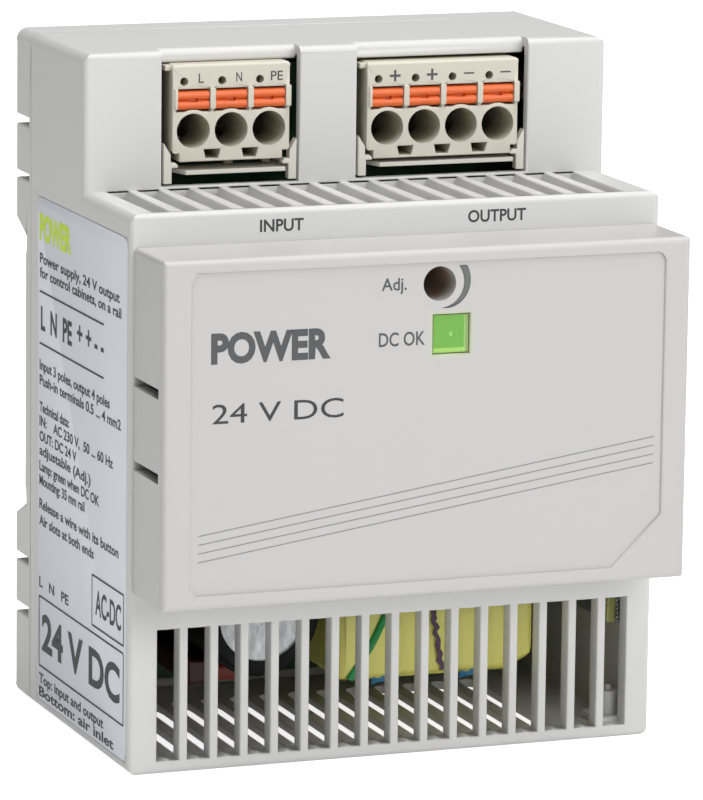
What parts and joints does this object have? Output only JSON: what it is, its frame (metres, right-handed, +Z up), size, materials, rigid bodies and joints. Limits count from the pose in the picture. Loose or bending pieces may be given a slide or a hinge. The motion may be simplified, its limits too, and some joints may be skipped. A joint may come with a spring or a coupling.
{
  "type": "din rail power supply",
  "caption": "Slim box-shaped power supply that snaps on a DIN rail, with stepped vented housing, front bezel, push-in terminal strips, output trimmer and status light",
  "frame": {"origin": "Centre of the overall box in X and Y, on the underside of the housing", "axes": "+X to the right seen from the front, -Y out of the front bezel, +Y towards the rail, +Z up"},
  "size_m": [0.072, 0.059, 0.09],
  "materials": {
    "black_epoxy": "black moulding compound",
    "blue_epoxy": "blue dipped epoxy",
    "bobbin_plastic": "black phenolic",
    "button": "moulded orange polyamide",
    "capacitor_sleeve": "black shrink sleeve over an aluminium can",
    "circuit_board": "green solder mask on glass epoxy",
    "clear_epoxy": "clear epoxy lamp",
    "contact_metal": "tinned copper",
    "copper_wire": "enamelled copper wire",
    "ferrite": "sintered dark grey ferrite",
    "fuse_case": "brown moulded fuse case",
    "heatsink": "extruded aluminium",
    "housing": "moulded light grey polycarbonate, fine satin texture",
    "label": "printed silver-grey film label",
    "latch": "moulded grey polyamide",
    "lens": "translucent green light pipe",
    "plated_steel": "zinc plated steel",
    "red_epoxy": "dark red dipped epoxy",
    "spring_steel": "bright spring steel",
    "terminal_body": "moulded warm white polyamide",
    "trimmer_case": "blue moulded trimmer case",
    "trimmer_dial": "white moulded dial",
    "yellow_tape": "yellow polyester winding tape"
  },
  "bodies": {
    "housing": {"main_cover": "housing", "rear_base": "housing", "front_bezel": "housing", "rating_label": "label", "led_lens": "lens", "latch_spring": "spring_steel", "cover_screws": "plated_steel", "input_terminal": "terminal_body", "input_contacts": "contact_metal", "input_clamp_springs": "spring_steel", "input_wire_tray": "terminal_body", "output_terminal": "terminal_body", "output_contacts": "contact_metal", "output_clamp_springs": "spring_steel", "output_wire_tray": "terminal_body", "main_board": "circuit_board", "control_board": "circuit_board", "status_led": "clear_epoxy", "trimmer_body": "trimmer_case", "fuse": "fuse_case", "varistor": "blue_epoxy", "filter_capacitors": "red_epoxy", "choke_core": "ferrite", "choke_windings": "copper_wire", "bridge_rectifier": "black_epoxy", "bulk_capacitors": "capacitor_sleeve", "primary_heatsink": "heatsink", "switching_transistor": "black_epoxy", "transformer_core": "ferrite", "transformer_winding": "copper_wire", "transformer_bobbin": "bobbin_plastic", "transformer_tape": "yellow_tape", "safety_capacitor": "blue_epoxy", "optocoupler": "black_epoxy", "controller_chip": "black_epoxy", "output_heatsink": "heatsink", "output_rectifier": "black_epoxy", "output_choke_core": "ferrite", "output_choke_winding": "copper_wire", "output_capacitors": "capacitor_sleeve"},
    "rail_latch": {"rail_latch": "latch"},
    "trimmer_rotor": {"trimmer_rotor": "trimmer_dial"},
    "input_button_1": {"input_button_1": "button"},
    "input_button_2": {"input_button_2": "button"},
    "input_button_3": {"input_button_3": "button"},
    "output_button_1": {"output_button_1": "button"},
    "output_button_2": {"output_button_2": "button"},
    "output_button_3": {"output_button_3": "button"},
    "output_button_4": {"output_button_4": "button"}
  },
  "joints": [
    {"name": "latch_slide", "type": "slide", "parent": "housing", "child": "rail_latch", "axis": [0, 0, -1], "range_m": [0, 0.0035], "stiffness_N_per_m": 2500, "springref_m": -0.002, "deforming": ["latch_spring"]},
    {"name": "trimmer_turn", "type": "hinge", "parent": "housing", "child": "trimmer_rotor", "pos_m": [0.0012, -0.0142, 0.0635], "axis": [0, -1, 0], "range_deg": [-130, 130]},
    {"name": "input_button_1_press", "type": "slide", "parent": "housing", "child": "input_button_1", "axis": [0, 1, 0], "range_m": [0, 0.0015], "stiffness_N_per_m": 4000, "springref_m": -0.0005},
    {"name": "input_button_2_press", "type": "slide", "parent": "housing", "child": "input_button_2", "axis": [0, 1, 0], "range_m": [0, 0.0015], "stiffness_N_per_m": 4000, "springref_m": -0.0005},
    {"name": "input_button_3_press", "type": "slide", "parent": "housing", "child": "input_button_3", "axis": [0, 1, 0], "range_m": [0, 0.0015], "stiffness_N_per_m": 4000, "springref_m": -0.0005},
    {"name": "output_button_1_press", "type": "slide", "parent": "housing", "child": "output_button_1", "axis": [0, 1, 0], "range_m": [0, 0.0015], "stiffness_N_per_m": 4000, "springref_m": -0.0005},
    {"name": "output_button_2_press", "type": "slide", "parent": "housing", "child": "output_button_2", "axis": [0, 1, 0], "range_m": [0, 0.0015], "stiffness_N_per_m": 4000, "springref_m": -0.0005},
    {"name": "output_button_3_press", "type": "slide", "parent": "housing", "child": "output_button_3", "axis": [0, 1, 0], "range_m": [0, 0.0015], "stiffness_N_per_m": 4000, "springref_m": -0.0005},
    {"name": "output_button_4_press", "type": "slide", "parent": "housing", "child": "output_button_4", "axis": [0, 1, 0], "range_m": [0, 0.0015], "stiffness_N_per_m": 4000, "springref_m": -0.0005}
  ]
}
